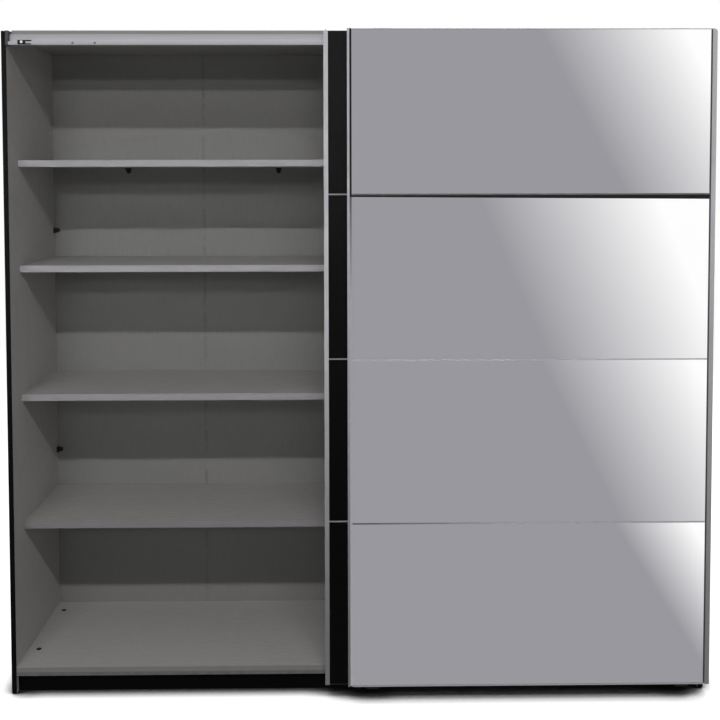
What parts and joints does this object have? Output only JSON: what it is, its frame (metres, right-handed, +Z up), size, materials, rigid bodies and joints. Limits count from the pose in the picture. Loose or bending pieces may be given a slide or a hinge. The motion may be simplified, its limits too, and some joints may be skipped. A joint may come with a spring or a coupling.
{
  "type": "sliding door cabinet",
  "caption": "Wide wardrobe with a black plinth and edges, open shelves on the left, a black glass sliding door behind a mirrored sliding door, silver tracks and uprights",
  "frame": {"origin": "middle of the footprint on the floor, halfway between the front of the mirrored door and the back edge of the carcass", "axes": "+X to the right along the doors' travel, +Y to the back, +Z up; the doors face -Y"},
  "size_m": [2.26, 0.62, 2.15],
  "materials": {
    "carcass_board": "matt foil with a fine grain",
    "side_board": "matt foil, black edges",
    "plinth_board": "matt black foil",
    "back_board": "thin printed fibreboard",
    "back_strip": "matt",
    "black_plastic": "matt",
    "grey_plastic": "matt",
    "white_plastic": "satin",
    "pin_steel": "zinc plated",
    "rail_chrome": "polished",
    "track_aluminium": "satin anodised",
    "door_aluminium": "satin anodised",
    "black_aluminium": "black anodised",
    "door_leaf": "foiled particle board",
    "black_glass": "back painted, glossy",
    "mirror_glass": "silvered",
    "gasket_rubber": "matt"
  },
  "bodies": {
    "carcass": {"bottom_panel": "carcass_board", "top_panel": "carcass_board", "centre_partition": "carcass_board", "shelf_1": "carcass_board", "shelf_2": "carcass_board", "shelf_3": "carcass_board", "shelf_4": "carcass_board", "hat_shelf": "carcass_board", "side_panel_left": "side_board", "side_panel_right": "side_board", "front_plinth": "plinth_board", "rear_plinth": "plinth_board", "back_panel_1": "back_board", "back_panel_2": "back_board", "back_panel_3": "back_board", "back_panel_4": "back_board", "back_seam_strips": "back_strip", "back_panel_clips": "black_plastic", "cam_caps": "black_plastic", "door_stops": "black_plastic", "floor_glides": "black_plastic", "track_end_caps": "grey_plastic", "lower_guide_track": "grey_plastic", "stop_buffers": "white_plastic", "shelf_pins": "pin_steel", "clothes_rail": "rail_chrome", "rail_brackets": "rail_chrome", "upper_track": "track_aluminium"},
    "rear_door": {"rear_door_shoes": "black_plastic", "rear_door_top_rail": "black_aluminium", "rear_door_bottom_rail": "black_aluminium", "rear_door_hangers": "pin_steel", "rear_door_stile_left": "door_aluminium", "rear_door_stile_right": "door_aluminium", "rear_door_dividers": "door_aluminium", "rear_door_leaf": "door_leaf", "rear_door_panel_1": "black_glass", "rear_door_panel_2": "black_glass", "rear_door_panel_3": "black_glass", "rear_door_panel_4": "black_glass"},
    "front_door": {"front_door_shoes": "black_plastic", "front_door_hangers": "pin_steel", "front_door_stile_left": "door_aluminium", "front_door_stile_right": "door_aluminium", "front_door_top_rail": "door_aluminium", "front_door_bottom_rail": "door_aluminium", "front_door_dividers": "door_aluminium", "front_door_leaf": "door_leaf", "front_door_panel_1": "mirror_glass", "front_door_panel_2": "mirror_glass", "front_door_panel_3": "mirror_glass", "front_door_panel_4": "mirror_glass", "front_door_gaskets": "gasket_rubber"},
    "rear_roller_left": {"rear_door_roller_left": "white_plastic"},
    "rear_roller_right": {"rear_door_roller_right": "white_plastic"},
    "front_roller_left": {"front_door_roller_left": "white_plastic"},
    "front_roller_right": {"front_door_roller_right": "white_plastic"}
  },
  "joints": [
    {"name": "rear_door_slide", "type": "slide", "parent": "carcass", "child": "rear_door", "axis": [1, 0, 0], "range_m": [-1.021, 0.074]},
    {"name": "front_door_slide", "type": "slide", "parent": "carcass", "child": "front_door", "axis": [1, 0, 0], "range_m": [-1.095, 0]},
    {"name": "rear_roller_left_spin", "type": "hinge", "parent": "rear_door", "child": "rear_roller_left", "pos_m": [0.004, -0.25025, 2.116], "axis": [0, 1, 0], "range_deg": [-4690, 345]},
    {"name": "rear_roller_right_spin", "type": "hinge", "parent": "rear_door", "child": "rear_roller_right", "pos_m": [0.943, -0.25025, 2.116], "axis": [0, 1, 0], "range_deg": [-4690, 345]},
    {"name": "front_roller_left_spin", "type": "hinge", "parent": "front_door", "child": "front_roller_left", "pos_m": [0.078, -0.23075, 2.116], "axis": [0, 1, 0], "range_deg": [-5030, 10]},
    {"name": "front_roller_right_spin", "type": "hinge", "parent": "front_door", "child": "front_roller_right", "pos_m": [1.017, -0.23075, 2.116], "axis": [0, 1, 0], "range_deg": [-5030, 10]}
  ],
  "couplings": [
    {"joint": "rear_roller_left_spin", "follows": "rear_door_slide", "rad_per_m": 80},
    {"joint": "rear_roller_right_spin", "follows": "rear_door_slide", "rad_per_m": 80},
    {"joint": "front_roller_left_spin", "follows": "front_door_slide", "rad_per_m": 80},
    {"joint": "front_roller_right_spin", "follows": "front_door_slide", "rad_per_m": 80}
  ]
}
